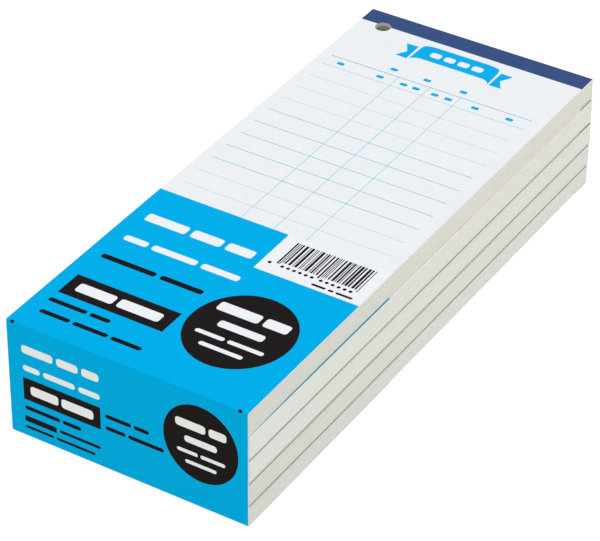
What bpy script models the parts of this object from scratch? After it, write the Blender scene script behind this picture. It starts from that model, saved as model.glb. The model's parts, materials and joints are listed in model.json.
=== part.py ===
"""A pack of five guest check pads with a folded wrap band round the near end.

Metres, +Z up. +Y runs from the wrapped near end to the bound far end, X runs across the pads,
and the origin is the middle of the underside of the pack's box.
"""

import math

import bmesh
import bpy
from mathutils import Vector

MM = 0.001

# ---------------------------------------------------------------- driving dimensions
PAD_COUNT = 5                       # pad 1 is the top one
PAD_WIDTH = 75.0 * MM
PAD_LENGTH = 188.0 * MM
# A hundred sheets on a board, more or less pressed: the lowest pad lies flattest.
PAD_HEIGHT = (7.10 * MM, 7.80 * MM, 7.50 * MM, 7.20 * MM, 6.25 * MM)
GAP_BELOW = (0.04 * MM, 0.25 * MM, 0.25 * MM, 0.25 * MM, 0.0)      # air under each pad, at its tape
PAD_SHIFT_X = (-0.20 * MM, 0.20 * MM, 0.14 * MM, 0.06 * MM, 0.0)

LAYER_GAP = 0.03 * MM               # between two layers of one pad
TAPE_THICKNESS = 0.08 * MM
TAPE_STRIP = 7.0 * MM               # width of the tape on the top and underside
BOARD_THICKNESS = 0.45 * MM
SHEET_THICKNESS = 0.10 * MM

HOLE_DIAMETER = 4.9 * MM
HOLE_FROM_LEFT = 8.0 * MM
HOLE_FROM_FAR = 7.8 * MM
HOLE_SIDES = 32

STUB_LENGTH = 8.7 * MM              # far end to the line that the order form folds along
HINGE_RISE = 0.10 * MM              # fold axis above the sheet's face
FORM_ROOT_GAP = 0.15 * MM           # fold axis to the form's root edge
STUB_FACE_GAP = 0.05 * MM           # fold axis to the stub's edge
CROSS_PERF_FROM_NEAR = 71.75 * MM   # perforation between the order form and the bill slip
PERF_HALF_GAP = 0.10 * MM

STAPLE_CROWN = 11.0 * MM
STAPLE_WIRE_WIDTH = 0.50 * MM
STAPLE_WIRE_THICK = 0.35 * MM
STAPLE_FOOT = 4.2 * MM
STAPLE_OFFSET_X = 19.0 * MM
STAPLE_FROM_FAR = 3.6 * MM
STAPLE_CLEARANCE = 0.10 * MM

WRAP_THICKNESS = 0.20 * MM
WRAP_GAP = 0.06 * MM                # to the stack's top and underside
WRAP_FRONT_GAP = 0.15 * MM          # to the stack's near end
WRAP_PANEL = 71.70 * MM             # near end of the pads to the wrap's free edge

# ---------------------------------------------------------------- derived levels
# Heights inside a pad, from the underside of its tape.
Z_BOARD_LOW = TAPE_THICKNESS + LAYER_GAP
Z_BOARD_TOP = Z_BOARD_LOW + BOARD_THICKNESS
Z_BLOCK_LOW = Z_BOARD_TOP + LAYER_GAP


class Levels:
    """Heights near the top of one pad. The stapled end is pressed down, so the tape's top strip is flush
    with the sheet."""

    def __init__(self, number):
        self.top = PAD_HEIGHT[number - 1]
        self.tape_low = self.top - TAPE_THICKNESS
        self.taped_top = self.tape_low - LAYER_GAP
        self.sheet_low = self.top - SHEET_THICKNESS
        self.block_top = self.sheet_low - LAYER_GAP


# The pack's box is centred on the origin, so the pads sit a little towards the far end.
NEAR_EXTRA = WRAP_FRONT_GAP + WRAP_THICKNESS
FAR_EXTRA = LAYER_GAP + TAPE_THICKNESS
Y_NEAR = -PAD_LENGTH / 2 + (NEAR_EXTRA - FAR_EXTRA) / 2
Y_FAR = Y_NEAR + PAD_LENGTH
Y_AXIS = Y_FAR - STUB_LENGTH
Y_PERF = Y_NEAR + CROSS_PERF_FROM_NEAR
Y_TAPE = Y_FAR - TAPE_STRIP
Y_STAPLE = Y_FAR - STAPLE_FROM_FAR
Y_HOLE = Y_FAR - HOLE_FROM_FAR
X_HOLE = -PAD_WIDTH / 2 + HOLE_FROM_LEFT

# The wrap's underside is the lowest face; the lowest board lies just above its bottom panel.
Z_FIRST_PAD = WRAP_THICKNESS + WRAP_GAP - Z_BOARD_LOW


def pad_base(number):
    """Height of the underside of a pad's tape."""
    below = range(number, PAD_COUNT)
    return Z_FIRST_PAD + sum(PAD_HEIGHT[i] for i in below) + sum(GAP_BELOW[number - 1:PAD_COUNT - 1])


Z_TOP_SHEET = pad_base(1) + PAD_HEIGHT[0]


# ---------------------------------------------------------------- helpers
def linear(red, green, blue):
    """An 8-bit display colour as linear RGBA."""
    def one(value):
        value /= 255
        return value / 12.92 if value <= 0.04045 else ((value + 0.055) / 1.055) ** 2.4
    return one(red), one(green), one(blue), 1.0


def material(name, colour, roughness, metallic=0.0):
    made = bpy.data.materials.new(name)
    made.use_nodes = True
    shader = made.node_tree.nodes["Principled BSDF"]
    shader.inputs["Base Color"].default_value = linear(*colour)
    shader.inputs["Roughness"].default_value = roughness
    shader.inputs["Metallic"].default_value = metallic
    made.diffuse_color = linear(*colour)
    return made


def empty(name, location, parent=None):
    made = bpy.data.objects.new(name, None)
    made.empty_display_size = 0.01
    made.location = location
    made.parent = parent
    bpy.context.scene.collection.objects.link(made)
    return made


def add_object(name, form, finish, location=(0, 0, 0), parent=None):
    """A bmesh as a named object. Its own origin is at location, in the parent's frame."""
    bmesh.ops.recalc_face_normals(form, faces=form.faces)
    mesh = bpy.data.meshes.new(name)
    form.to_mesh(mesh)
    form.free()
    made = bpy.data.objects.new(name, mesh)
    made.location = location
    made.parent = parent
    if finish is not None:
        mesh.materials.append(finish)
    bpy.context.scene.collection.objects.link(made)
    return made


def prism(points, start, depth):
    """A closed prism: points are 3-D corners of a flat outline, pushed along depth from start."""
    form = bmesh.new()
    corners = [form.verts.new(Vector(point) + Vector(start)) for point in points]
    face = form.faces.new(corners)
    pushed = bmesh.ops.extrude_face_region(form, geom=[face])
    moved = [item for item in pushed["geom"] if isinstance(item, bmesh.types.BMVert)]
    bmesh.ops.translate(form, vec=Vector(depth), verts=moved)
    return form


def across(outline, x_low, x_high):
    """A (y, z) outline pushed across the pad."""
    return prism([(0, y, z) for y, z in outline], (x_low, 0, 0), (x_high - x_low, 0, 0))


def rectangle(y_low, y_high, z_low, z_high):
    return [(y_low, z_low), (y_high, z_low), (y_high, z_high), (y_low, z_high)]


def as_cutter(made):
    made.hide_render = True
    made.display_type = "WIRE"
    return made


def cut(target, cutter):
    step = target.modifiers.new("cut_" + cutter.name, "BOOLEAN")
    step.operation = "DIFFERENCE"
    step.solver = "EXACT"
    step.object = cutter


# ---------------------------------------------------------------- pieces of a pad
def hole_cutter(name, parent):
    form = bmesh.new()
    turn = [2 * math.pi * (i + 0.5) / HOLE_SIDES for i in range(HOLE_SIDES)]
    rim = [form.verts.new((math.cos(a) * HOLE_DIAMETER / 2, math.sin(a) * HOLE_DIAMETER / 2, -MM)) for a in turn]
    face = form.faces.new(rim)
    pushed = bmesh.ops.extrude_face_region(form, geom=[face])
    moved = [item for item in pushed["geom"] if isinstance(item, bmesh.types.BMVert)]
    bmesh.ops.translate(form, vec=(0, 0, max(PAD_HEIGHT) + 2 * MM), verts=moved)
    return as_cutter(add_object(name, form, None, (X_HOLE, Y_HOLE, 0), parent))


def staple_cutter(name, x, parent, level):
    """A square ring that opens the crown's groove, the two leg slots and the board's clinch slot."""
    half = STAPLE_CROWN / 2 + STAPLE_CLEARANCE
    inner = STAPLE_CROWN / 2 - STAPLE_WIRE_THICK - STAPLE_CLEARANCE
    deep = STAPLE_WIRE_WIDTH / 2 + STAPLE_CLEARANCE
    low, high = Z_BOARD_LOW - 0.2 * MM, level.taped_top + 0.2 * MM
    inner_low = (Z_BOARD_TOP + Z_BLOCK_LOW) / 2
    inner_high = level.taped_top - 0.05 * MM - STAPLE_WIRE_THICK - STAPLE_CLEARANCE
    outer_loop = [(-half, low), (half, low), (half, high), (-half, high)]
    inner_loop = [(-inner, inner_low), (inner, inner_low), (inner, inner_high), (-inner, inner_high)]
    form = bmesh.new()
    loops = {}
    for side in (-deep, deep):
        loops[side] = (
            [form.verts.new((px, side, pz)) for px, pz in outer_loop],
            [form.verts.new((px, side, pz)) for px, pz in inner_loop],
        )
    for i in range(4):
        j = (i + 1) % 4
        for side in (-deep, deep):
            outer, hole = loops[side]
            form.faces.new((outer[i], outer[j], hole[j], hole[i]))
        for ring in (0, 1):
            a, b = loops[-deep][ring], loops[deep][ring]
            form.faces.new((a[i], a[j], b[j], b[i]))
    return as_cutter(add_object(name, form, None, (x, Y_STAPLE, 0), parent))


def staple(name, x, parent, level, finish):
    """Flat wire: a crown, two legs and two feet clinched inwards."""
    half, thick = STAPLE_CROWN / 2, STAPLE_WIRE_THICK
    high = level.taped_top - 0.05 * MM
    low = Z_BOARD_LOW + 0.05 * MM
    outline = [
        (-half, low), (-half + STAPLE_FOOT, low), (-half + STAPLE_FOOT, low + thick), (-half + thick, low + thick),
        (-half + thick, high - thick), (half - thick, high - thick), (half - thick, low + thick),
        (half - STAPLE_FOOT, low + thick), (half - STAPLE_FOOT, low), (half, low), (half, high), (-half, high),
    ]
    form = prism([(px, 0, pz) for px, pz in outline], (0, -STAPLE_WIRE_WIDTH / 2, 0), (0, STAPLE_WIRE_WIDTH, 0))
    return add_object(name, form, finish, (x, Y_STAPLE, 0), parent)


def build_pad(number, finishes, pack):
    tag = f"pad{number}"
    level = Levels(number)
    carrier = empty(f"{tag}_carrier", (PAD_SHIFT_X[number - 1], 0, pad_base(number)), pack)
    left, right = -PAD_WIDTH / 2, PAD_WIDTH / 2

    outline = [
        (Y_NEAR, Z_BLOCK_LOW), (Y_FAR, Z_BLOCK_LOW), (Y_FAR, level.taped_top),
        (Y_TAPE - STUB_FACE_GAP, level.taped_top), (Y_TAPE - STUB_FACE_GAP, level.top),
        (Y_AXIS + STUB_FACE_GAP, level.top), (Y_AXIS + STUB_FACE_GAP, level.block_top), (Y_NEAR, level.block_top),
    ]
    block = add_object(f"{tag}_sheet_block", across(outline, left, right), finishes["sheets"], parent=carrier)

    board = add_object(
        f"{tag}_backing_board",
        across(rectangle(Y_NEAR, Y_FAR, Z_BOARD_LOW, Z_BOARD_TOP), left, right),
        finishes["board"], parent=carrier,
    )

    inner, outer = Y_FAR + LAYER_GAP, Y_FAR + LAYER_GAP + TAPE_THICKNESS
    channel = [
        (Y_TAPE, 0), (outer, 0), (outer, level.top), (Y_TAPE, level.top),
        (Y_TAPE, level.tape_low), (inner, level.tape_low), (inner, TAPE_THICKNESS), (Y_TAPE, TAPE_THICKNESS),
    ]
    tape = add_object(f"{tag}_binding_tape", across(channel, left, right), finishes["tape"], parent=carrier)

    # The form's own origin is on its fold axis.
    axis_z = level.top + HINGE_RISE
    form_sheet = add_object(
        f"{tag}_order_form",
        across(
            rectangle(
                Y_PERF + PERF_HALF_GAP - Y_AXIS, -FORM_ROOT_GAP,
                level.sheet_low - axis_z, level.top - axis_z,
            ),
            left, right,
        ),
        finishes["form"], (0, Y_AXIS, axis_z), carrier,
    )

    slip_mid_y = (Y_NEAR + Y_PERF - PERF_HALF_GAP) / 2
    slip_half = (Y_PERF - PERF_HALF_GAP - Y_NEAR) / 2
    slip_mid_z = (level.sheet_low + level.top) / 2
    add_object(
        f"{tag}_bill_slip",
        across(rectangle(-slip_half, slip_half, -SHEET_THICKNESS / 2, SHEET_THICKNESS / 2), left, right),
        finishes["slip"], (0, slip_mid_y, slip_mid_z), carrier,
    )

    hole = hole_cutter(f"{tag}_hole_cutter", carrier)
    for piece in (block, board, tape, form_sheet):
        cut(piece, hole)
    for side, x in (("left", -STAPLE_OFFSET_X), ("right", STAPLE_OFFSET_X)):
        ring = staple_cutter(f"{tag}_staple_{side}_cutter", x, carrier, level)
        cut(block, ring)
        cut(board, ring)
        staple(f"{tag}_staple_{side}", x, carrier, level, finishes["staple"])


# ---------------------------------------------------------------- wrap
def build_wrap(finish, pack):
    """One band, folded square at the near end's top and bottom edges."""
    thick = WRAP_THICKNESS
    front_in, front_out = Y_NEAR - WRAP_FRONT_GAP, Y_NEAR - WRAP_FRONT_GAP - thick
    free = Y_NEAR + WRAP_PANEL
    top_in = Z_TOP_SHEET + WRAP_GAP
    outline = [
        (front_out, 0), (free, 0), (free, thick), (front_in, thick),
        (front_in, top_in), (free, top_in), (free, top_in + thick), (front_out, top_in + thick),
    ]
    return add_object("wrap_band", across(outline, -PAD_WIDTH / 2, PAD_WIDTH / 2), finish, parent=pack)


def main():
    for item in list(bpy.data.objects):
        bpy.data.objects.remove(item, do_unlink=True)
    finishes = {
        "sheets": material("sheet_edges", (224, 223, 216), 0.85),
        "board": material("chipboard", (146, 142, 133), 0.9),
        "tape": material("tape_navy", (58, 80, 133), 0.55),
        "form": material("order_form_paper", (235, 239, 243), 0.7),
        "slip": material("bill_slip_paper", (235, 239, 243), 0.7),
        "staple": material("staple_steel", (176, 178, 180), 0.3, 1.0),
        "wrap": material("wrap_blue", (0, 170, 228), 0.4),
    }
    pack = empty("pack", (0, 0, 0))
    for number in range(1, PAD_COUNT + 1):
        build_pad(number, finishes, pack)
    build_wrap(finishes["wrap"], pack)
    bpy.context.view_layer.update()


main()
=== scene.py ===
"""Looks of a five-pad pack of guest checks held by a printed paper wrap.

Every printed face is cut into the regions of its print, so that the ink is part of the mesh:
each region takes its own material. Lengths in the print layouts are millimetres, measured on
the sheet from its left edge (x) and from its near end (y).
"""

import json
import math
import random

import bpy
import numpy as np
from mathutils import Matrix, Vector, geometry


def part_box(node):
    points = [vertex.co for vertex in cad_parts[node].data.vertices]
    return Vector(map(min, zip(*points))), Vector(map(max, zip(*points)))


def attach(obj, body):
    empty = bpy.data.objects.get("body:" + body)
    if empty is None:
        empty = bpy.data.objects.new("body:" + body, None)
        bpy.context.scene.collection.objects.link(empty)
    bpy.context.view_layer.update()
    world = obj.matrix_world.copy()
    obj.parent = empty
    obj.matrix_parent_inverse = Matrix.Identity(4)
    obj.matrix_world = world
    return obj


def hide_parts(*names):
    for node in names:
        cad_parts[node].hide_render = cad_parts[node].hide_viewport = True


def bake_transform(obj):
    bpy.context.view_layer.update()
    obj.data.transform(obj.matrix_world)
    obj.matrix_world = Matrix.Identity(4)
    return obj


MM = 0.001
rng = random.Random(20731)

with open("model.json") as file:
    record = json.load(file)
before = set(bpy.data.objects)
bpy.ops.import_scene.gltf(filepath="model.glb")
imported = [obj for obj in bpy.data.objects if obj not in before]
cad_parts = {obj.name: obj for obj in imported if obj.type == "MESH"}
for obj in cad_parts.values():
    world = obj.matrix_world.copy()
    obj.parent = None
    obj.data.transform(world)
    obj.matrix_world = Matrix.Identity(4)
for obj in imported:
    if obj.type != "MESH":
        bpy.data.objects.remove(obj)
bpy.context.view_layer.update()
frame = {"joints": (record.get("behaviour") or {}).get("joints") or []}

# ---------------------------------------------------------------- sizes read from the frame
WRAP_LOW, WRAP_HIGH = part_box("wrap_band")
SLIP_LOW, SLIP_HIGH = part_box("pad1_bill_slip")
FORM_LOW, FORM_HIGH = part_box("pad1_order_form")
BLOCK_LOW, BLOCK_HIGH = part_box("pad1_sheet_block")
TAPE_LOW, TAPE_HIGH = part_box("pad1_binding_tape")

Y_NEAR = SLIP_LOW.y / MM  # near end of every pad
Y_FAR = BLOCK_HIGH.y / MM  # bound end
WIDTH = (BLOCK_HIGH.x - BLOCK_LOW.x) / MM
LENGTH = Y_FAR - Y_NEAR
SLIP_END = SLIP_HIGH.y / MM - Y_NEAR
FORM_START = FORM_LOW.y / MM - Y_NEAR
TAPE_START = TAPE_LOW.y / MM - Y_NEAR  # edge of the binding tape on the sheet
FOLD_LINE = 0.0  # set from the joint below
HOLE_X, HOLE_Y, HOLE_R = 8.0, LENGTH - 7.8, 2.45

for joint in frame["joints"]:
    if joint["name"] == "order_form_flip":
        FOLD_LINE = joint["pos_m"][1] / MM - Y_NEAR


# ---------------------------------------------------------------- materials
def lin(r, g, b):
    """A display colour, 0 to 255, as linear light."""
    out = []
    for c in (r, g, b):
        c /= 255.0
        out.append(c / 12.92 if c <= 0.04045 else ((c + 0.055) / 1.055) ** 2.4)
    return (*out, 1.0)


def scaled(colour, k):
    return tuple(min(1.0, c * k) for c in colour[:3]) + (1.0,)


class Tree:
    """A small helper round one material's node tree."""

    def __init__(self, name, roughness=0.7, specular=0.2, metallic=0.0):
        self.mat = bpy.data.materials.new(name)
        self.mat.use_nodes = True
        self.nodes = self.mat.node_tree.nodes
        self.links = self.mat.node_tree.links
        self.bsdf = self.nodes["Principled BSDF"]
        self.bsdf.inputs["Roughness"].default_value = roughness
        self.bsdf.inputs["Specular IOR Level"].default_value = specular
        self.bsdf.inputs["Metallic"].default_value = metallic
        self.where = self.nodes.new("ShaderNodeTexCoord")

    def mapped(self, sx, sy, sz):
        node = self.nodes.new("ShaderNodeMapping")
        node.inputs["Scale"].default_value = (sx, sy, sz)
        self.links.new(self.where.outputs["Object"], node.inputs["Vector"])
        return node.outputs["Vector"]

    def along_y(self):
        node = self.nodes.new("ShaderNodeSeparateXYZ")
        self.links.new(self.where.outputs["Object"], node.inputs["Vector"])
        return node.outputs["Y"]

    def noise(self, vector, detail=3.0, rough=0.55, scale=1.0):
        node = self.nodes.new("ShaderNodeTexNoise")
        node.inputs["Scale"].default_value = scale
        node.inputs["Detail"].default_value = detail
        node.inputs["Roughness"].default_value = rough
        self.links.new(vector, node.inputs["Vector"])
        return node.outputs["Fac"]

    def wave(self, vector, axis, scale=1.0, distortion=0.0):
        node = self.nodes.new("ShaderNodeTexWave")
        node.wave_type = "BANDS"
        node.bands_direction = axis
        node.inputs["Scale"].default_value = scale
        node.inputs["Distortion"].default_value = distortion
        node.inputs["Detail"].default_value = 1.0
        self.links.new(vector, node.inputs["Vector"])
        return node.outputs["Fac"]

    def math(self, operation, a, b):
        node = self.nodes.new("ShaderNodeMath")
        node.operation = operation
        for socket, value in zip(node.inputs, (a, b)):
            if isinstance(value, (int, float)):
                socket.default_value = value
            else:
                self.links.new(value, socket)
        return node.outputs["Value"]

    def ramp(self, factor, stops):
        node = self.nodes.new("ShaderNodeValToRGB")
        ramp = node.color_ramp
        while len(ramp.elements) < len(stops):
            ramp.elements.new(0.5)
        for element, (at, colour) in zip(ramp.elements, stops):
            element.position = at
            element.color = colour
        self.links.new(factor, node.inputs["Fac"])
        return node.outputs["Color"]

    def spread(self, factor, low, high, to_low, to_high):
        node = self.nodes.new("ShaderNodeMapRange")
        for socket, value in zip(list(node.inputs)[1:5], (low, high, to_low, to_high)):
            socket.default_value = value
        self.links.new(factor, node.inputs["Value"])
        return node.outputs["Result"]

    def bump(self, height, strength, distance):
        node = self.nodes.new("ShaderNodeBump")
        node.inputs["Strength"].default_value = strength
        node.inputs["Distance"].default_value = distance
        self.links.new(height, node.inputs["Height"])
        self.links.new(node.outputs["Normal"], self.bsdf.inputs["Normal"])

    def colour(self, socket):
        self.links.new(socket, self.bsdf.inputs["Base Color"])

    def roughness(self, socket):
        self.links.new(socket, self.bsdf.inputs["Roughness"])


def paper_like(name, colour, vary=0.03, roughness=(0.62, 0.8), specular=0.12, tooth=0.06):
    """Uncoated or lightly coated paper, bare or inked: cloudy formation, fine fibres, a slight tooth."""
    t = Tree(name, specular=specular)
    cloud = t.noise(t.mapped(170, 170, 170), detail=4.0, rough=0.6)
    fibre = t.noise(t.mapped(3600, 9000, 6500), detail=3.0, rough=0.6)
    both = t.math("ADD", t.math("MULTIPLY", cloud, 0.6), t.math("MULTIPLY", fibre, 0.4))
    t.colour(
        t.ramp(
            both,
            [
                (0.30, scaled(colour, 1.0 - vary)),
                (0.50, scaled(colour, 1.0)),
                (0.72, scaled(colour, 1.0 + 0.6 * vary)),
            ],
        )
    )
    t.roughness(t.spread(fibre, 0.3, 0.7, *roughness))
    t.bump(fibre, tooth, 0.00002)
    return t.mat


def sheet_edges(name, colour, near=None):
    """Cut side of a block of sheets: fine streaks along the sheets, with soft darker and lighter runs, and painted
    shade that darkens it towards the near end."""
    t = Tree(name, specular=0.08)
    streak = t.noise(t.mapped(26, 26, 5200), detail=4.0, rough=0.65)
    run = t.noise(t.mapped(34, 34, 620), detail=2.0, rough=0.5)
    grain = t.noise(t.mapped(8000, 8000, 8000), detail=2.0, rough=0.6)
    mix = t.math(
        "ADD",
        t.math("MULTIPLY", streak, 0.45),
        t.math("ADD", t.math("MULTIPLY", run, 0.35), t.math("MULTIPLY", grain, 0.20)),
    )
    near = near or scaled(colour, 0.96)
    # Painted shade: the colour is pushed darker over the first 110 mm from the near end.
    near_end_shade = t.spread(t.along_y(), Y_NEAR * MM, (Y_NEAR + 110.0) * MM, 0.30, 0.0)
    t.colour(
        t.ramp(
            t.math("SUBTRACT", mix, near_end_shade),
            [
                (0.0, scaled(near, 0.96)),
                (0.20, near),
                (0.50, scaled(colour, 1.0)),
                (0.72, scaled(colour, 1.03)),
            ],
        )
    )
    t.roughness(t.spread(grain, 0.3, 0.7, 0.75, 0.92))
    t.bump(streak, 0.15, 0.00004)
    return t.mat


def board_like(name, colour):
    """Pale chipboard: soft clouds with short grey fibres pressed into it."""
    t = Tree(name, specular=0.08)
    cloud = t.noise(t.mapped(240, 240, 900), detail=5.0, rough=0.65)
    fleck = t.noise(t.mapped(900, 3000, 2600), detail=4.0, rough=0.7)
    t.colour(
        t.ramp(
            t.math("ADD", t.math("MULTIPLY", cloud, 0.5), t.math("MULTIPLY", fleck, 0.5)),
            [
                (0.30, scaled(colour, 0.80)),
                (0.45, scaled(colour, 0.97)),
                (0.70, scaled(colour, 1.05)),
            ],
        )
    )
    t.roughness(t.spread(fleck, 0.3, 0.7, 0.8, 0.95))
    t.bump(fleck, 0.35, 0.00004)
    return t.mat


def tape_like(name, colour):
    """Paper-backed binding tape: an embossed cloth grain and slightly uneven dye."""
    t = Tree(name, specular=0.04)
    warp = t.wave(t.mapped(1000, 0, 0), "X", scale=0.9, distortion=0.6)
    weft = t.wave(t.mapped(0, 1000, 1000), "DIAGONAL", scale=0.9, distortion=0.6)
    weave = t.math("MULTIPLY", warp, weft)
    cloud = t.noise(t.mapped(260, 260, 260), detail=4.0, rough=0.6)
    grain = t.noise(t.mapped(3200, 3200, 3200), detail=2.0, rough=0.6)
    tone = t.math(
        "ADD",
        t.math("MULTIPLY", cloud, 0.55),
        t.math("ADD", t.math("MULTIPLY", grain, 0.3), t.math("MULTIPLY", weave, 0.15)),
    )
    t.colour(
        t.ramp(
            tone,
            [
                (0.28, scaled(colour, 0.92)),
                (0.46, scaled(colour, 1.0)),
                (0.70, scaled(colour, 1.07)),
            ],
        )
    )
    t.roughness(t.spread(grain, 0.3, 0.7, 0.5, 0.66))
    t.bump(t.math("ADD", t.math("MULTIPLY", weave, 0.7), t.math("MULTIPLY", grain, 0.3)), 0.25, 0.00005)
    return t.mat


def coated(name, colour, vary=0.02, roughness=(0.4, 0.55), specular=0.005):
    """Machine-coated wrap paper with a print on it: nearly even ink with a faint press mottle."""
    t = Tree(name, specular=specular)
    mottle = t.noise(t.mapped(420, 420, 420), detail=4.0, rough=0.6)
    grain = t.noise(t.mapped(3000, 3000, 3000), detail=2.0, rough=0.5)
    both = t.math("ADD", t.math("MULTIPLY", mottle, 0.65), t.math("MULTIPLY", grain, 0.35))
    t.colour(
        t.ramp(
            both,
            [
                (0.30, scaled(colour, 1.0 - vary)),
                (0.50, scaled(colour, 1.0)),
                (0.72, scaled(colour, 1.0 + vary)),
            ],
        )
    )
    t.roughness(t.spread(mottle, 0.3, 0.7, *roughness))
    t.bump(grain, 0.06, 0.00002)
    return t.mat


def steel(name):
    """Drawn staple wire."""
    t = Tree(name, roughness=0.32, specular=0.5, metallic=1.0)
    drawn = t.noise(t.mapped(400, 6000, 6000), detail=3.0)
    t.colour(t.ramp(drawn, [(0.3, (0.50, 0.50, 0.51, 1.0)), (0.7, (0.66, 0.66, 0.67, 1.0))]))
    t.roughness(t.spread(drawn, 0.3, 0.7, 0.24, 0.42))
    return t.mat


PAPER = paper_like("sheet_paper", lin(236, 240, 243), specular=0.04)
PAPER_BACK = paper_like("sheet_paper_back", lin(234, 238, 240))
# Painted highlight: near-white paper for the second pad's ledge, which shows beside the top pad.
LEDGE_PAINTED_HIGHLIGHT = paper_like("sheet_paper_ledge_painted_highlight", lin(255, 253, 244), vary=0.01, specular=0.04)
# Painted shade: the far part of that ledge toned down to the tone of the pads' sides.
LEDGE_PAINTED_SHADE = paper_like("sheet_paper_ledge_painted_shade", lin(240, 239, 230), specular=0.04)
# Painted shade: a dark paper for the hair of a lower block's top that shows in the joints between pads.
JOINT_PAINTED_SHADE = paper_like("sheet_paper_joint_painted_shade", lin(130, 128, 121), vary=0.12, specular=0.02)
INK_CYAN = paper_like("form_ink_cyan", lin(0, 174, 236), vary=0.04, roughness=(0.5, 0.66), specular=0.03)
INK_EDGE = paper_like("form_ink_at_cut", lin(0, 169, 198), vary=0.05, roughness=(0.5, 0.66), specular=0.03)
INK_RULE = paper_like("form_ink_rule", lin(8, 179, 209), vary=0.05, roughness=(0.5, 0.66), specular=0.03)
# Each pad's edge colour, then its darker colour towards the near end, painted shade there.
EDGES = [
    sheet_edges("sheet_edges_1", lin(231, 230, 226), lin(222, 225, 222)),
    sheet_edges("sheet_edges_2", lin(234, 235, 233), lin(233, 236, 236)),
    sheet_edges("sheet_edges_3", lin(233, 234, 232), lin(232, 235, 235)),
    sheet_edges("sheet_edges_4", lin(232, 232, 229), lin(222, 225, 223)),
    sheet_edges("sheet_edges_5", lin(232, 232, 230), lin(224, 226, 225)),
]
# Painted shade: the punched hole's wall darkens with depth, a little below 0.5 mm and more below 1.2 mm.
HOLE_DEEP_PAINTED_SHADE = sheet_edges("punched_hole_deep_painted_shade", lin(184, 186, 177))
HOLE_UPPER_PAINTED_SHADE = sheet_edges("punched_hole_upper_painted_shade", lin(222, 223, 216))
BOARD = board_like("backing_board_edge", lin(230, 229, 225))
# Painted light: the top pad's board is made paler than the others, to lift the shade in the corner of the joint below
# it.
BOARD_PAINTED_LIGHT = board_like("backing_board_painted_light_edge", lin(242, 241, 237))
BOARD_UNDER = board_like("backing_board_under", lin(150, 147, 139))
TAPE = tape_like("binding_tape_navy", lin(55, 80, 130))
TAPE_EDGE = paper_like("binding_tape_cut", lin(212, 210, 202))
# Painted light: the navy tape made bright teal where its thin edge shows lit in the joint.
TAPE_PAINTED_LIGHT = tape_like("binding_tape_painted_light", lin(40, 196, 226))
WRAP_BLUE = coated("wrap_print_blue", lin(0, 174, 234))
WRAP_WHITE = coated("wrap_print_white", lin(238, 241, 245))
WRAP_BLACK = coated("wrap_print_black", lin(33, 29, 31), vary=0.06)
WRAP_INSIDE = paper_like("wrap_paper_inside", lin(234, 236, 236))
WRAP_EDGE = paper_like("wrap_paper_cut", lin(240, 240, 236))
STEEL = steel("staple_wire")


# ---------------------------------------------------------------- mesh helpers
def inside(points, polygon):
    """Which of the points lie in the polygon."""
    px, py = points[:, 0], points[:, 1]
    hit = np.zeros(len(points), bool)
    x0, y0 = polygon[-1]
    for x1, y1 in polygon:
        if y0 != y1:
            at = x0 + (py - y0) * (x1 - x0) / (y1 - y0)
            hit ^= ((y0 > py) != (y1 > py)) & (px < at)
        x0, y0 = x1, y1
    return hit


def tessellate(outline, cuts=(), prints=(), guides=()):
    """Triangles of a flat outline less its cuts, split along the edges of every printed shape and guide.
    Returns points, triangles seen counterclockwise, and the print number of each triangle."""
    points, edges = [], []

    def chain(line, closed):
        first = len(points)
        points.extend(Vector(p) for p in line)
        edges.extend((first + i, first + i + 1) for i in range(len(line) - 1))
        if closed:
            edges.append((first + len(line) - 1, first))

    chain(outline, True)
    for cut in cuts:
        chain(cut, True)
    for shape, _ in prints:
        chain(shape, True)
    for guide in guides:
        chain(guide, False)
    found, _, faces, *_ = geometry.delaunay_2d_cdt(points, edges, [], 0, 1e-5)
    xy = np.array([(p.x, p.y) for p in found])
    tris = np.array([list(f) for f in faces])
    a, b, c = (xy[tris[:, i]] for i in range(3))
    turn = (b[:, 0] - a[:, 0]) * (c[:, 1] - a[:, 1]) - (b[:, 1] - a[:, 1]) * (c[:, 0] - a[:, 0])
    tris[turn < 0] = tris[turn < 0][:, ::-1]
    centres = xy[tris].mean(axis=1)
    keep = inside(centres, outline)
    for cut in cuts:
        keep &= ~inside(centres, cut)
    tris, centres = tris[keep], centres[keep]
    tone = np.zeros(len(tris), int)
    for shape, number in prints:
        tone[inside(centres, shape)] = number
    used = np.unique(tris)
    renumber = np.full(len(xy), -1)
    renumber[used] = np.arange(len(used))
    return xy[used], renumber[tris], tone


def rim(tris):
    """Directed edges round the triangles' open boundary, with the inside on their left."""
    seen = {(int(t[i]), int(t[(i + 1) % 3])) for t in tris for i in range(3)}
    return [e for e in sorted(seen) if (e[1], e[0]) not in seen]


def make(name, points, faces, numbers, materials, smooth=False):
    """An object from points in millimetres, faces and the material number of each face."""
    mesh = bpy.data.meshes.new(name)
    mesh.from_pydata([tuple(float(v) * MM for v in p) for p in points], [], [tuple(map(int, f)) for f in faces])
    for material in materials:
        mesh.materials.append(material)
    mesh.polygons.foreach_set("material_index", [int(n) for n in numbers])
    mesh.update()
    if smooth:
        mesh.shade_smooth()
        mesh.set_sharp_from_angle(angle=math.radians(32))
    obj = bpy.data.objects.new(name, mesh)
    bpy.context.scene.collection.objects.link(obj)
    return obj


def slab(name, flat, top, bottom, materials, back, edge, smooth=False):
    """A closed sheet: the tessellated face carried to its top and bottom surface, joined round the rim."""
    xy, tris, tone = flat
    count = len(xy)
    points = [top(x, y) for x, y in xy] + [bottom(x, y) for x, y in xy]
    faces = [tuple(t) for t in tris] + [tuple(t[::-1] + count) for t in tris]
    numbers = list(tone) + [back] * len(tris)
    for i, j in rim(tris):
        faces.append((j, i, i + count, j + count))
        numbers.append(edge)
    return make(name, points, faces, numbers, materials, smooth)


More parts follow.
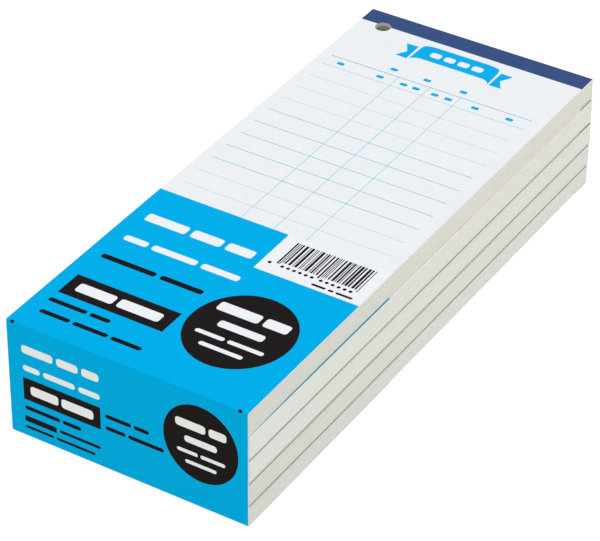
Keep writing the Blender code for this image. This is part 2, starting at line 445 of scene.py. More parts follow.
def rect(x0, y0, x1, y1):
    return [(x0, y0), (x1, y0), (x1, y1), (x0, y1)]


def pill(x0, y0, x1, y1, radius=None, steps=5):
    """A bar with rounded corners."""
    r = min(x1 - x0, y1 - y0) / 2 if radius is None else radius
    out = []
    for cx, cy, start in (
        (x1 - r, y0 + r, -90),
        (x1 - r, y1 - r, 0),
        (x0 + r, y1 - r, 90),
        (x0 + r, y0 + r, 180),
    ):
        for k in range(steps + 1):
            angle = math.radians(start + 90 * k / steps)
            p = (cx + r * math.cos(angle), cy + r * math.sin(angle))
            if not out or math.dist(out[-1], p) > 1e-4:
                out.append(p)
    if math.dist(out[0], out[-1]) < 1e-4:
        out.pop()
    return out


def disc(cx, cy, rx, ry=None, steps=80):
    ry = rx if ry is None else ry
    return [
        (cx + rx * math.cos(2 * math.pi * k / steps), cy + ry * math.sin(2 * math.pi * k / steps))
        for k in range(steps)
    ]


def bars(x, y, widths, height, gap, number):
    """A row of plain rounded bars from left to right, centred on y."""
    out = []
    for width in widths:
        out.append((pill(x, y - height / 2, x + width, y + height / 2, radius=min(height / 2, 0.9)), number))
        x += width + gap
    return out


def eased(line, rounds=2):
    """An open line with its corners cut off, its two ends kept."""
    for _ in range(rounds):
        out = [line[0]]
        for (ax, ay), (bx, by) in zip(line, line[1:]):
            out += [(0.75 * ax + 0.25 * bx, 0.75 * ay + 0.25 * by), (0.25 * ax + 0.75 * bx, 0.25 * ay + 0.75 * by)]
        line = out + [line[-1]]
    return line


def along(a, b, count):
    """count steps from a to b, without b."""
    return [(a[0] + (b[0] - a[0]) * k / count, a[1] + (b[1] - a[1]) * k / count) for k in range(count)]


# ---------------------------------------------------------------- the check form's print
CYAN, RULE = 1, 2
HEAD_TOP, HEAD_LOW, ROW_PITCH = 158.0, 152.7, 7.44
TABLE_LEFT, TABLE_RIGHT = 3.35, 70.8
COLUMNS = (26.5, 37.0, 47.43)


def ribbon():
    """A ribbon scroll with a bowed body and two swallow tails."""
    middle = 36.9
    half = [
        (13.35, 168.4),
        (13.25, 174.4),
        (12.95, 176.9),
        (12.4, 177.6),
        (11.2, 178.1),
        (8.8, 178.3),
    ]
    under = [(8.8, 170.45), (11.0, 170.4), (12.3, 169.9), (13.0, 169.2), (13.35, 168.4)]
    side = eased(under) + eased(half)[1:]
    body = [(middle + x, y) for x, y in side] + [(middle - x, y) for x, y in reversed(side)]
    left = [(18.9, 175.85), (21.15, 172.0), (19.05, 168.5), (22.95, 168.35), (22.85, 176.1)]
    right = [(2 * middle - x, y) for x, y in reversed(left)]
    return [(body, CYAN), (left, CYAN), (right, CYAN)]


def form_print():
    prints = []
    line = 0.135
    low = FORM_START - 1.0
    for x in COLUMNS:
        prints.append((rect(x - line / 2, low, x + line / 2, HEAD_TOP), RULE))
    row, count = HEAD_LOW - ROW_PITCH, 1
    while row > FORM_START + 0.5:
        half = 0.102 if 4 <= count <= 8 else 0.052  # the first and last rules of the form came out faint
        prints.append((rect(TABLE_LEFT, row - half, TABLE_RIGHT, row + half), RULE))
        row, count = row - ROW_PITCH, count + 1
    prints.append((rect(TABLE_LEFT, HEAD_LOW - 0.074, TABLE_RIGHT, HEAD_LOW + 0.074), RULE))
    prints.append((rect(TABLE_LEFT, HEAD_TOP - 0.126, TABLE_RIGHT, HEAD_TOP + 0.126), RULE))
    for x in (8.2, 21.7, 29.7, 33.9, 40.2, 44.7, 53.6, 64.9):
        prints.append((pill(x - 1.2, 154.5, x + 1.2, 155.95, radius=0.5), CYAN))
    for x in (23.2, 34.4, 46.6):
        prints.append((pill(x - 1.2, 160.2, x + 1.2, 161.65, radius=0.5), CYAN))
    prints += ribbon()
    prints += bars(28.0, 174.2, (3.6, 3.6, 3.6, 3.6), 2.6, 1.1, 0)
    return prints


MARGIN_END = SLIP_END - 1.65  # the margins stop a little short of the perforation


def slip_print():
    """The guest's half of the check: a solid margin down both long edges, a heading bar and a total box."""
    prints = [
        (rect(-1.0, -1.0, 2.6, MARGIN_END), CYAN),
        (rect(WIDTH - 2.6, -1.0, WIDTH + 1.0, MARGIN_END), CYAN),
        (pill(24.0, 62.4, 51.0, 66.2), CYAN),
    ]
    for y in (54.5, 46.5, 38.5, 30.5):
        prints.append((rect(8.0, y - 0.07, 67.0, y + 0.07), RULE))
    outer, inner = pill(8.0, 9.0, 67.0, 24.0, radius=1.6), pill(8.3, 9.3, 66.7, 23.7, radius=1.3)
    prints += [(outer, CYAN), (inner, 0), (pill(12.0, 15.6, 20.0, 17.4), CYAN)]
    return prints


FORM_PRINT, SLIP_PRINT = form_print(), slip_print()


def notch(y_edge):
    """Points of the punched hole's rim below the line y = y_edge, from its right end round to its left end."""
    start = math.asin(max(-1.0, min(1.0, (y_edge - HOLE_Y) / HOLE_R)))
    stop = -math.pi - start
    return [
        (
            HOLE_X + HOLE_R * math.cos(start + (stop - start) * k / 30),
            HOLE_Y + HOLE_R * math.sin(start + (stop - start) * k / 30),
        )
        for k in range(31)
    ]


# ---------------------------------------------------------------- sheets of each pad
FORM_END = TAPE_START - 0.02
form_outline = (
    [(0.0, FORM_START), (WIDTH, FORM_START), (WIDTH, FORM_END)]
    + notch(FORM_END)
    + [(0.0, FORM_END)]
)
# Rows of points where the sheet bends up from the stub.
BEND = 4.0
form_guides = [[(-1.0, FOLD_LINE - BEND * k / 22), (WIDTH + 1.0, FOLD_LINE - BEND * k / 22)] for k in range(23)]
form_guides += [[(-1.0, y), (WIDTH + 1.0, y)] for y in (FOLD_LINE - 12, FOLD_LINE - 30, FOLD_LINE - 60, 112.0, 102.0)]

# The slip's far edge keeps the ties of the perforation it tears along.
slip_edge = []
x = WIDTH
while x > 1.0:
    slip_edge += [
        (x, SLIP_END),
        (x - 0.5, SLIP_END),
        (x - 0.55, SLIP_END + 0.17),
        (x - 0.95, SLIP_END + 0.17),
        (x - 1.0, SLIP_END),
    ]
    x -= 1.5
slip_outline = (
    [(0.0, 0.0)] + along((WIDTH, 0.0), (WIDTH, SLIP_END), 10) + slip_edge + along((0.0, SLIP_END), (0.0, 0.0), 10)
)

FORM_FLAT = tessellate(form_outline, prints=FORM_PRINT, guides=form_guides)
# The margins' ink is darker and greener in a band 0.45 mm wide along the sheet's long edges.
AT_CUT = [(rect(x, -1.0, x + 1.45, MARGIN_END), 5) for x in (-1.0, WIDTH - 0.45)]
SLIP_FLAT = tessellate(slip_outline, prints=SLIP_PRINT + AT_CUT)


def pad_left(k):
    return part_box(f"pad{k}_sheet_block")[0].x / MM


# How far each pad's uppermost sheets were dragged in by the cut.
DRAG = {1: 0.0, 2: 0.0, 3: 0.20, 4: 0.15, 5: 0.29}


TOP_LEAN = 0.5  # the share of that push which reaches the top sheet


def lean(k, y):
    """How far a pad's board is pushed to the right at y: the wrap squares up the top pad's near end."""
    return 0.28 * max(0.0, 1 - y / 30) ** 2 + 0.10 * max(0.0, 1 - y / 80) if k == 1 else 0.0


def sheets(k):
    left = pad_left(k)

    def across(x, y):
        drag = DRAG[k]
        if k == 2 and y > SLIP_END + 0.18:
            drag = 0.28 + 0.14 * min(1.0, max(0.0, (y - 102.0) / 10.0))
        return left + drag + x * (WIDTH - 2 * drag) / WIDTH + TOP_LEAN * lean(k, y)

    materials = [PAPER, INK_CYAN, INK_RULE, PAPER_BACK, EDGES[k - 1], INK_EDGE]
    made = []
    for piece, flat in ((f"pad{k}_order_form", FORM_FLAT), (f"pad{k}_bill_slip", SLIP_FLAT)):
        low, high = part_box(piece)
        top, bottom = high.z / MM, low.z / MM - 0.02
        near = 0.2 if k == 1 else 0.0  # the top sheet stays clear of the wrap's fold
        obj = slab(
            f"{piece}_sheet",
            flat,
            lambda x, y: (across(x, y), Y_NEAR + max(y, near), top),
            lambda x, y: (across(x, y), Y_NEAR + max(y, near), bottom),
            materials,
            3,
            4,
        )
        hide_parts(piece)
        made.append(obj)
    return made


# ---------------------------------------------------------------- blocks and boards
HOLE_RIM = disc(HOLE_X, HOLE_Y, HOLE_R, steps=32)[::-1]
PAD_OUTLINE = (
    along((0.0, 0.0), (WIDTH, 0.0), 10)
    + along((WIDTH, 0.0), (WIDTH, LENGTH), 24)
    + along((WIDTH, LENGTH), (0.0, LENGTH), 10)
    + along((0.0, LENGTH), (0.0, 0.0), 24)
)
PLAIN_FLAT = tessellate(PAD_OUTLINE, cuts=[HOLE_RIM])
NEXT_FLAT = tessellate(
    PAD_OUTLINE,
    cuts=[HOLE_RIM],
    prints=[(s, n) for s, n in SLIP_PRINT] + [(s, n) for s, n in FORM_PRINT],
)
# The edge of the second pad's block, which shows beside the top pad, takes a painted highlight in its near part and a
# painted shade beyond 107 mm.
EDGE_FLAT = tessellate(
    PAD_OUTLINE, cuts=[HOLE_RIM], prints=[(rect(-1.0, 107.0, WIDTH + 1.0, LENGTH + 1.0), 6)]
)


def in_hole(x, y):
    """Whether a rim point is on the punched hole."""
    return 0.5 < x < WIDTH - 0.5 and 0.5 < y < LENGTH - 0.5


def stack(name, flat, left, levels, materials, back, hole):
    """A closed solid under a printed top face: one ring of points for each level, and a plain underside.
    Each level is its height, a function that gives the sideways shift of a rim point, and the material of the
    wall above it; hole gives the material of the punched hole's wall at a height."""
    xy, tris, tone = flat
    edges = rim(tris)
    ring = sorted({i for e in edges for i in e})
    slot = {v: i for i, v in enumerate(ring)}
    z0, shift0, _ = levels[0]
    points = []
    for i, (x, y) in enumerate(xy):
        dx, dy = shift0(x, y) if i in slot else (0.0, 0.0)
        points.append((left + x + dx, Y_NEAR + y + dy, z0))
    faces, numbers = [tuple(t) for t in tris], list(tone)
    above = {v: v for v in ring}
    for z, shift, wall in levels[1:]:
        below = {}
        for v in ring:
            x, y = xy[v]
            dx, dy = shift(x, y)
            below[v] = len(points)
            points.append((left + x + dx, Y_NEAR + y + dy, z))
        for i, j in edges:
            faces.append((above[j], above[i], below[i], below[j]))
            numbers.append(hole(z) if in_hole(*xy[i]) else wall)
        above = below
    flat_ring = [xy[v] for v in ring]
    inner = [(slot[i], slot[j]) for i, j in edges]
    found, _, cap, came, *_ = geometry.delaunay_2d_cdt([Vector(p) for p in flat_ring], inner, [], 0, 1e-5)
    cap_xy = np.array([(p.x, p.y) for p in found])
    for tri in cap:
        centre = cap_xy[list(tri)].mean(axis=0)[None]
        if inside(centre, PAD_OUTLINE)[0] and not inside(centre, HOLE_RIM)[0]:
            a, b, c = (cap_xy[v] for v in tri)
            if (b[0] - a[0]) * (c[1] - a[1]) - (b[1] - a[1]) * (c[0] - a[0]) > 0:
                tri = tri[::-1]
            faces.append(tuple(above[ring[came[v][0]]] for v in tri))
            numbers.append(back)
    return make(name, points, faces, numbers, materials)


def side_shift(k, left, right, near, far, hole, waves, share=1.0):
    """How one sheet of a block lies: its four sides in or out by a little, with a slow wave along them."""

    def shift(x, y):
        if in_hole(x, y):
            d = math.hypot(x - HOLE_X, y - HOLE_Y)
            return (x - HOLE_X) / d * hole, (y - HOLE_Y) / d * hole
        a, b, p = waves
        wave = a * math.sin(2 * math.pi * b * y / LENGTH + p) + share * lean(k, y)
        dx = dy = 0.0
        if x < 0.01:
            dx = -left + wave
        elif x > WIDTH - 0.01:
            dx = right + wave
        if y < 0.01:
            dy = -near
        elif y > LENGTH - 0.01:
            dy = far
        return dx, dy

    return shift


def block(k):
    low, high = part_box(f"pad{k}_sheet_block")
    sheet_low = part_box(f"pad{k}_order_form")[0].z / MM
    top, bottom = sheet_low - 0.025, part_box(f"pad{k}_backing_board")[1].z / MM + 0.005
    left = low.x / MM
    count = 34
    step = (top - bottom) / count
    levels = []
    drift = 0.0
    for i in range(count):
        drift = 0.75 * drift + rng.uniform(-0.018, 0.018)
        jut = rng.uniform(-0.012, 0.012)
        near = -0.03 - abs(rng.gauss(0, 0.02))
        hole = rng.uniform(-0.03, 0.02)
        waves = (rng.uniform(0.002, 0.012), rng.choice((0.7, 1.3, 2.1)), rng.uniform(0, 6.28))
        z0 = top - i * step
        z1 = z0 - step * 0.8
        dragged = DRAG[k] * (0.85, 0.45, 0.18, 0.05)[i] if i < 4 else 0.0
        for z, tuck in ((z0, dragged), (z1, dragged), (z1 - step * 0.1, dragged + 0.012)):
            depth = min(top - z, z - bottom)
            pressed = 0.0
            if depth < 0.45:
                pressed = 0.45 - math.sqrt(max(0.0, 0.45**2 - (0.45 - depth) ** 2))
            levels.append(
                (
                    z,
                    side_shift(
                        k,
                        jut - drift - tuck,
                        jut + drift - tuck,
                        near - tuck,
                        -0.02 - pressed,
                        hole + tuck - dragged,
                        waves,
                        TOP_LEAN + (1 - TOP_LEAN) * (top - z) / (top - bottom),
                    ),
                    # the lower blocks' top layer of wall takes the painted joint shade
                    0 if k > 2 and i == 0 else 3,
                )
            )
    levels.append((bottom, levels[-1][1], 3))
    # Only a hair's breadth of a lower block's top shows, in the joint under the pad above it. Its colour is painted
    # light: the second pad's block top is painted lighter, a painted highlight on its ledge beside the top pad, and the
    # lower blocks' tops and the top layer of their walls are painted dark, painted shade in the joints.
    face = {1: PAPER, 2: LEDGE_PAINTED_HIGHLIGHT}.get(k, JOINT_PAINTED_SHADE)
    materials = [face, INK_CYAN, INK_RULE, EDGES[k - 1], HOLE_UPPER_PAINTED_SHADE, HOLE_DEEP_PAINTED_SHADE, LEDGE_PAINTED_SHADE]
    obj = stack(
        f"pad{k}_sheet_stack",
        {1: NEXT_FLAT, 2: EDGE_FLAT}.get(k, PLAIN_FLAT),
        left,
        levels,
        materials,
        0,
        # the hole's wall: the edge colour in its top 0.5 mm, then painted shade
        lambda z: 3 if top - z < 0.5 else 4 if top - z < 1.2 else 5,
    )
    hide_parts(f"pad{k}_sheet_block")
    return obj


def board(k):
    """The backing board, with its lower edge eased by handling. Its underside is grey."""
    low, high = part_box(f"pad{k}_backing_board")
    top, bottom = high.z / MM, low.z / MM
    waves = (0.006, 1.1, 0.4 * k)
    flush = side_shift(k, -0.01, -0.01, -0.03, -0.02, 0.0, waves)
    # The tape is drawn tight round the far end and rounds it.
    bound = side_shift(k, -0.01, -0.01, -0.03, -0.08, 0.0, waves)
    tight = side_shift(k, -0.01, -0.01, -0.03, -0.17, 0.0, waves)
    worn = side_shift(k, -0.03, -0.03, -0.05, -0.29, 0.02, waves)
    eased = side_shift(k, -0.08, -0.08, -0.09, -0.44, 0.06, waves)
    levels = [
        (top, flush, 0),
        (bottom + 0.32, flush, 0),
        (bottom + 0.20, bound, 0),
        (bottom + 0.10, tight, 0),
        (bottom + 0.03, worn, 1),
        (bottom, eased, 1),
    ]
    # The top pad's board takes the painted light.
    side = [BOARD_PAINTED_LIGHT, BOARD_UNDER] if k == 1 else [BOARD, BOARD_UNDER]
    obj = stack(f"pad{k}_chipboard", PLAIN_FLAT, low.x / MM, levels, side, 1, lambda z: 1)
    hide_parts(f"pad{k}_backing_board")
    return obj


def board_face():
    """The top pad's board bellies down past its tape on to the sheet below, most of all in its far half."""
    low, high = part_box("pad1_backing_board")
    left, top = low.x / MM, low.z / MM
    end = TAPE_START - 0.1
    right = along((WIDTH - 0.02, 0.05), (WIDTH - 0.02, 80.0), 8) + [(WIDTH - 0.02, 80.0), (WIDTH - 0.02, end)]
    outline = [(0.02, 0.05)] + right + notch(end) + [(0.02, end), (0.02, 80.0)]
    folds = [[(-1.0, y), (WIDTH + 1.0, y)] for y in (110.0, 115.0, 120.0)]

    def belly(y):
        part = min(1.0, max(0.0, (y - 110.0) / 10.0))
        return 0.06 + 0.08 * part * part * (3 - 2 * part)

    # Its top and edges take the painted light of the top pad's board.
    obj = slab(
        "pad1_chipboard_face",
        tessellate(outline, guides=folds),
        lambda x, y: (left + x + lean(1, y), Y_NEAR + y, top + 0.06),
        lambda x, y: (left + x + lean(1, y), Y_NEAR + y, top - belly(y)),
        [BOARD_PAINTED_LIGHT, BOARD_UNDER],
        1,
        0,
    )
    return obj


# ---------------------------------------------------------------- binding tape
def tape(k):
    low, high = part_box(f"pad{k}_binding_tape")
    left, width = low.x / MM, (high.x - low.x) / MM
    if k == 2:
        width -= 0.2  # this one was cut a little short, and a band along its edge is painted lighter, painted light
    y0, y1 = low.y / MM, high.y / MM
    z0, z1 = low.z / MM, high.z / MM
    radius, thick = 0.5, 0.1
    strip = y1 - y0
    tall = z1 - z0
    total = 2 * strip + tall
    hole_in = Y_NEAR + HOLE_Y - y0  # hole centre relative to the strip's free edge, below it

    def bite(edge_at, outward):
        """The hole's arc where it cuts the strip's free edge, as unrolled points from left to right."""
        rise = math.asin(-hole_in / HOLE_R)
        out = []
        for n in range(25):
            angle = math.pi - rise + (2 * rise - math.pi) * n / 24
            out.append((HOLE_X + HOLE_R * math.cos(angle), edge_at + outward * (hole_in + HOLE_R * math.sin(angle))))
        return out

    first = bite(0.0, 1.0)
    last = bite(total, -1.0)
    outline = (
        [(0.0, 0.0)]
        + first
        + [(width, 0.0), (width, total)]
        + last[::-1]
        + [(0.0, total)]
    )
    guides = []
    for corner in (strip, strip + tall):
        for n in range(-1, 10):
            s = corner - radius + 2 * radius * n / 8
            guides.append([(-1.0, s), (width + 1.0, s)])
    # painted light: a bright teal band 0.3 mm wide along the second pad's tape edge
    painted_light_band = [(rect(width - 0.3, -1.0, width + 1.0, strip - radius), 2)] if k == 2 else []
    flat = tessellate(outline, prints=painted_light_band, guides=guides)

    def place(s, inward):
        r = radius
        if s < strip - r:
            y, z, ny, nz = y0 + s, z1, 0.0, 1.0
        elif s <= strip + r:
            a = (s - strip + r) / (2 * r) * math.pi / 2
            ny, nz = math.sin(a), math.cos(a)
            y, z = y1 - r + r * ny, z1 - r + r * nz
        elif s < strip + tall - r:
            y, z, ny, nz = y1, z1 - (s - strip), 1.0, 0.0
        elif s <= strip + tall + r:
            a = (s - strip - tall + r) / (2 * r) * math.pi / 2
            ny, nz = math.cos(a), -math.sin(a)
            y, z = y1 - r + r * ny, z0 + r + r * nz
        else:
            y, z, ny, nz = y1 - (s - strip - tall), z0, 0.0, -1.0
        return y - inward * ny, z - inward * nz

    obj = slab(
        f"pad{k}_tape_strip",
        flat,
        lambda x, s: (left + x, *place(s, 0.0)),
        lambda x, s: (left + x, *place(s, thick)),
        [TAPE, TAPE_EDGE, TAPE_PAINTED_LIGHT],
        0,
        1,
        smooth=True,
    )
    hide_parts(f"pad{k}_binding_tape")
    return obj


# ---------------------------------------------------------------- staples
def staple(k, side):
    """Flattened wire bent into a crown, two legs and two chisel-cut feet that are clinched inwards."""
    low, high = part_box(f"pad{k}_staple_{side}")
    x0, x1, z0, z1 = (v / MM for v in (low.x, high.x, low.z, high.z))
    middle, wide = (low.y + high.y) / 2 / MM, (high.y - low.y) / MM
    half, bend, foot, tip, ease = 0.175, 0.55, 4.2, 0.5, 0.09
    corners = [
        (x0 + foot, z0 + half),
        (x0 + half, z0 + half),
        (x0 + half, z1 - half),
        (x1 - half, z1 - half),
        (x1 - half, z0 + half),
        (x1 - foot, z0 + half),
    ]
    ways = [(-1.0, 0.0), (0.0, 1.0), (1.0, 0.0), (0.0, -1.0), (-1.0, 0.0)]
    trail = [(corners[0], ways[0], 0.4), ((corners[0][0] - tip, corners[0][1]), ways[0], 1.0)]
    for (px, pz), (ax, az), (bx, bz) in zip(corners[1:], ways, ways[1:]):
        for n in range(9):
            turn = math.pi / 2 * n / 8
            c, s = math.cos(turn), math.sin(turn)
            spot = (px + bend * (bx - ax - bx * c + ax * s), pz + bend * (bz - az - bz * c + az * s))
            trail.append((spot, (ax * c + bx * s, az * c + bz * s), 1.0))
    trail += [((corners[-1][0] + tip, corners[-1][1]), ways[-1], 1.0), (corners[-1], ways[-1], 0.4)]
    section = pill(-half, -wide / 2, half, wide / 2, ease, 3)
    count = len(section)
    points, faces = [], []
    for (px, pz), (tx, tz), thin in trail:
        points += [(px - tz * u * thin, middle + v, pz + tx * u * thin) for u, v in section[::-1]]
    for ring in range(len(trail) - 1):
        a, b = ring * count, (ring + 1) * count
        for j in range(count):
            faces.append((a + j, a + (j + 1) % count, b + (j + 1) % count, b + j))
    faces.append(tuple(range(count))[::-1])
    faces.append(tuple(range(len(points) - count, len(points))))
    obj = make(f"pad{k}_staple_wire_{side}", points, faces, [0] * len(faces), [STEEL], smooth=True)
    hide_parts(f"pad{k}_staple_{side}")
    return obj


# ---------------------------------------------------------------- printed wrap
W_BLUE, W_WHITE, W_BLACK, W_INSIDE, W_EDGE = range(5)
PANEL = (WRAP_HIGH.y - WRAP_LOW.y) / MM  # top panel, fold to free edge
TALL = (WRAP_HIGH.z - WRAP_LOW.z) / MM
WRAP_W = (WRAP_HIGH.x - WRAP_LOW.x) / MM
FRONT_OUT = WRAP_LOW.y / MM - Y_NEAR  # fold's place in sheet measure, just below zero
FREE_EDGE = WRAP_HIGH.y / MM - Y_NEAR


def on_top(shape):
    return [(x, y - FREE_EDGE) for x, y in shape]


def on_front(shape):
    return [(x, -PANEL - TALL + z) for x, z in shape]


def wrap_print():
    prints = []

    def top(shape, number):
        prints.append((on_top(shape), number))

    def front(shape, number):
        prints.append((on_front(shape), number))

    # White box with a row of upright bars at the free edge.
    top(rect(42.1, 53.8, WRAP_W + 1, FREE_EDGE + 1), W_WHITE)
    lines = random.Random(77)
    x = 46.2
    while x < 71.2:
        wide = 0.27 * lines.choice((1, 1, 2, 2, 3))
        if x + wide > 71.6:
            break
        long = x < 47.2 or 58.2 < x < 59.2 or x > 70.2
        top(rect(x, 58.7 if long else 59.7, x + wide, 69.8), W_BLACK)
        x += wide + 0.27 * lines.choice((1, 1, 1, 2, 2))
    top(pill(43.9, 57.6, 45.0, 58.7, radius=0.4), W_BLACK)
    for start in (47.9, 60.0):
        for shape, number in bars(start, 58.15, (1.1,) * 6, 1.1, 0.75, W_BLACK):
            top(shape, number)
    for shape, number in bars(59.2, 55.6, (4.4, 1.7, 5.2), 0.85, 0.7, W_BLACK):
        top(shape, number)

    # Rows of plain bars.
    for shape, number in bars(4.6, 58.3, (13.4, 9.8, 8.6), 3.6, 1.5, W_WHITE):
        top(shape, number)
    for shape, number in bars(5.0, 47.0, (7.6, 14.4, 12.0), 2.4, 1.5, W_WHITE):
        top(shape, number)
    for shape, number in bars(4.6, 36.7, (17.6, 13.6), 2.0, 1.4, W_BLACK):
        top(shape, number)
    top(rect(4.4, 16.7, 37.6, 26.0), W_BLACK)
    for shape, number in bars(7.6, 21.35, (11.9, 13.4), 3.8, 1.3, W_WHITE):
        top(shape, number)
    for shape, number in bars(4.2, 13.0, (12.2, 6.4), 1.6, 1.0, W_BLACK):
        top(shape, number)
    for shape, number in bars(5.2, 7.5, (9.6, 11.0, 9.6), 1.6, 1.0, W_BLACK):
        top(shape, number)
    top(disc(54.75, 27.65, 15.1, 16.4, steps=112), W_BLACK)
    for shape, number in bars(43.6, 34.6, (13.0, 7.6), 3.8, 1.3, W_WHITE):
        top(shape, number)
    for shape, number in bars(47.8, 28.0, (14.0,), 2.8, 1.2, W_WHITE):
        top(shape, number)
    for shape, number in bars(44.2, 22.4, (9.0, 11.0), 1.5, 1.0, W_WHITE):
        top(shape, number)
    for shape, number in bars(48.0, 18.2, (13.4,), 1.5, 1.0, W_WHITE):
        top(shape, number)

    # The near face repeats the panel, smaller.
    for shape, number in bars(4.5, 29.2, (10.0, 6.8, 5.4), 2.6, 1.2, W_WHITE):
        front(shape, number)
    for shape, number in bars(4.7, 23.1, (5.4, 10.2, 6.8), 1.8, 1.1, W_WHITE):
        front(shape, number)
    front(rect(4.5, 12.5, 29.3, 19.8), W_BLACK)
    for shape, number in bars(6.8, 16.1, (9.0, 10.2), 3.0, 1.0, W_WHITE):
        front(shape, number)
    for shape, number in bars(4.7, 9.8, (11.4, 6.0), 1.3, 0.8, W_BLACK):
        front(shape, number)
    front(rect(4.5, 5.1, 14.8, 7.0), W_BLACK)
    for shape, number in bars(15.8, 6.2, (13.2,), 1.0, 0.8, W_BLACK):
        front(shape, number)
    for shape, number in bars(4.6, 3.3, (9.2, 12.6), 0.9, 0.8, W_BLACK):
        front(shape, number)
    for shape, number in bars(30.8, 17.8, (8.2, 4.8), 1.3, 0.8, W_BLACK):
        front(shape, number)
    for shape, number in bars(30.8, 13.9, (6.4, 11.2), 1.3, 0.8, W_BLACK):
        front(shape, number)
    front(disc(60.6, 20.95, 11.5, 12.3, steps=96), W_BLACK)
    for shape, number in bars(52.9, 26.0, (9.2, 5.4), 2.7, 1.0, W_WHITE):
        front(shape, number)
    for shape, number in bars(55.6, 21.2, (10.0,), 2.1, 1.0, W_WHITE):
        front(shape, number)
    for shape, number in bars(53.3, 17.0, (6.4, 7.6), 1.15, 0.8, W_WHITE):
        front(shape, number)
    for shape, number in bars(55.8, 13.8, (9.6,), 1.15, 0.8, W_WHITE):
        front(shape, number)

    # Small register marks on the upper fold.
    for x in (1.9, 72.6):
        prints.append((disc(x, -PANEL, 0.65, steps=20), W_BLACK))
    return prints


def wrap():
    left = WRAP_LOW.x / MM
    out_y, low_z, high_z = WRAP_LOW.y / MM, WRAP_LOW.z / MM, WRAP_HIGH.z / MM
    r = 0.45
    sheet_top = FORM_HIGH.z / MM
    thick_top = high_z - sheet_top - 0.012
    thick_front = Y_NEAR - out_y - 0.02
    thick_low = 0.235
    length = 2 * PANEL + TALL
    outline = [(0.0, -length), (WRAP_W, -length), (WRAP_W, 0.0), (0.0, 0.0)]
    guides = []
    for corner in (PANEL, PANEL + TALL):
        for n in range(-1, 10):
            s = -(corner - r + 2 * r * n / 8)
            guides.append([(-1.0, s), (WRAP_W + 1.0, s)])
    flat = tessellate(outline, prints=wrap_print(), guides=guides)

    def place(w, inward):
        v = -w
        if v < PANEL - r:
            y, z, ny, nz, t = out_y + PANEL - v, high_z, 0.0, 1.0, thick_top
        elif v <= PANEL + r:
            f = (v - PANEL + r) / (2 * r)
            a = f * math.pi / 2
            ny, nz = -math.sin(a), math.cos(a)
            y, z = out_y + r + r * ny, high_z - r + r * nz
            t = thick_top + (thick_front - thick_top) * f
        elif v < PANEL + TALL - r:
            y, z, ny, nz, t = out_y, high_z - (v - PANEL), -1.0, 0.0, thick_front
        elif v <= PANEL + TALL + r:
            f = (v - PANEL - TALL + r) / (2 * r)
            a = f * math.pi / 2
            ny, nz = -math.cos(a), -math.sin(a)
            y, z = out_y + r + r * ny, low_z + r + r * nz
            t = thick_front + (thick_low - thick_front) * f
        else:
            y, z, ny, nz, t = out_y + (v - PANEL - TALL), low_z, 0.0, -1.0, thick_low
        return y - inward * t * ny, z - inward * t * nz

    obj = slab(
        "paper_wrap",
        flat,
        lambda x, w: (left + x, *place(w, 0.0)),
        lambda x, w: (left + x, *place(w, 1.0)),
        [WRAP_BLUE, WRAP_WHITE, WRAP_BLACK, WRAP_INSIDE, WRAP_EDGE],
        W_INSIDE,
        W_EDGE,
        smooth=True,
    )
    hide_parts("wrap_band")
    return obj


# ---------------------------------------------------------------- assembly
for k in range(1, 6):
    body = f"pad_{k}"
    form, slip = sheets(k)
    if k == 1:
        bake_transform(form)
        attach(slip, "bill_slip")
    else:
        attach(form, body)
        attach(slip, body)
    for piece in (block(k), board(k), tape(k)):
        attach(piece, body)
    if k == 1:
        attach(board_face(), body)
    for side in ("left", "right"):
        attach(staple(k, side), body)

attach(wrap(), "wrap")

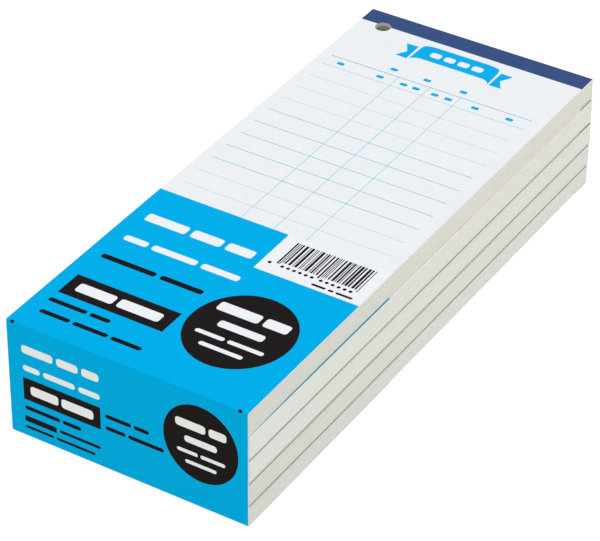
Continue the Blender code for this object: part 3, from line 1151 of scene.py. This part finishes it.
# ---------------------------------------------------------------- stage, light and camera
floor_mesh = bpy.data.meshes.new("floor")
floor_mesh.from_pydata([(-4, -4, -0.00005), (4, -4, -0.00005), (4, 4, -0.00005), (-4, 4, -0.00005)], [], [(0, 1, 2, 3)])
floor = bpy.data.objects.new("floor", floor_mesh)
bpy.context.scene.collection.objects.link(floor)
table_top = Tree("floor_white", roughness=0.9, specular=0.0)
table_top.bsdf.inputs["Base Color"].default_value = (0.2, 0.2, 0.2, 1.0)
table_top.bsdf.inputs["Emission Color"].default_value = (1.0, 0.985, 0.935, 1.0)
table_top.bsdf.inputs["Emission Strength"].default_value = 0.89
floor_mesh.materials.append(table_top.mat)

scene = bpy.context.scene
scene.view_settings.view_transform = "Standard"
scene.view_settings.look = "None"
scene.view_settings.exposure = 0.0
scene.view_settings.gamma = 1.0

world = bpy.data.worlds.new("studio")
scene.world = world
world.use_nodes = True
world.node_tree.nodes["Background"].inputs["Color"].default_value = (1.0, 0.98, 0.8, 1.0)
world.node_tree.nodes["Background"].inputs["Strength"].default_value = 0.6


def softbox(name, place, aim, size, watts, colour=(1.0, 1.0, 1.0)):
    data = bpy.data.lights.new(name, "AREA")
    data.shape = "SQUARE"
    data.size = size
    data.energy = watts
    data.color = colour
    obj = bpy.data.objects.new(name, data)
    scene.collection.objects.link(obj)
    obj.location = place
    obj.rotation_mode = "QUATERNION"
    obj.rotation_quaternion = (Vector(aim) - Vector(place)).to_track_quat("-Z", "Y")
    return obj


softbox("overhead", (0.05, 0.1, 1.8), (0.0, 0.0, 0.0), 2.4, 26.5, (0.769, 0.792, 1.0))

azimuth, elevation, roll = (math.radians(v) for v in (31.496, 35.610, 0.570))
back = Vector(
    (
        math.sin(azimuth) * math.cos(elevation),
        -math.cos(azimuth) * math.cos(elevation),
        math.sin(elevation),
    )
)
right = (-back).cross(Vector((0, 0, 1))).normalized()
up = right.cross(-back)
turned_right = right * math.cos(roll) + up * math.sin(roll)
turned_up = up * math.cos(roll) - right * math.sin(roll)
target = Vector((-1.77, -5.85, 12.82)) * MM
camera_data = bpy.data.cameras.new("camera")
camera_data.sensor_fit = "HORIZONTAL"
camera_data.sensor_width = 36.0
camera_data.lens = 2998.6 * 36.0 / 600.0
camera_data.clip_start, camera_data.clip_end = 0.05, 20.0
camera = bpy.data.objects.new("camera", camera_data)
scene.collection.objects.link(camera)
spin = Matrix((turned_right, turned_up, back)).transposed().to_4x4()
camera.matrix_world = Matrix.Translation(target + back * 842.9 * MM) @ spin
scene.camera = camera

bpy.context.view_layer.update()
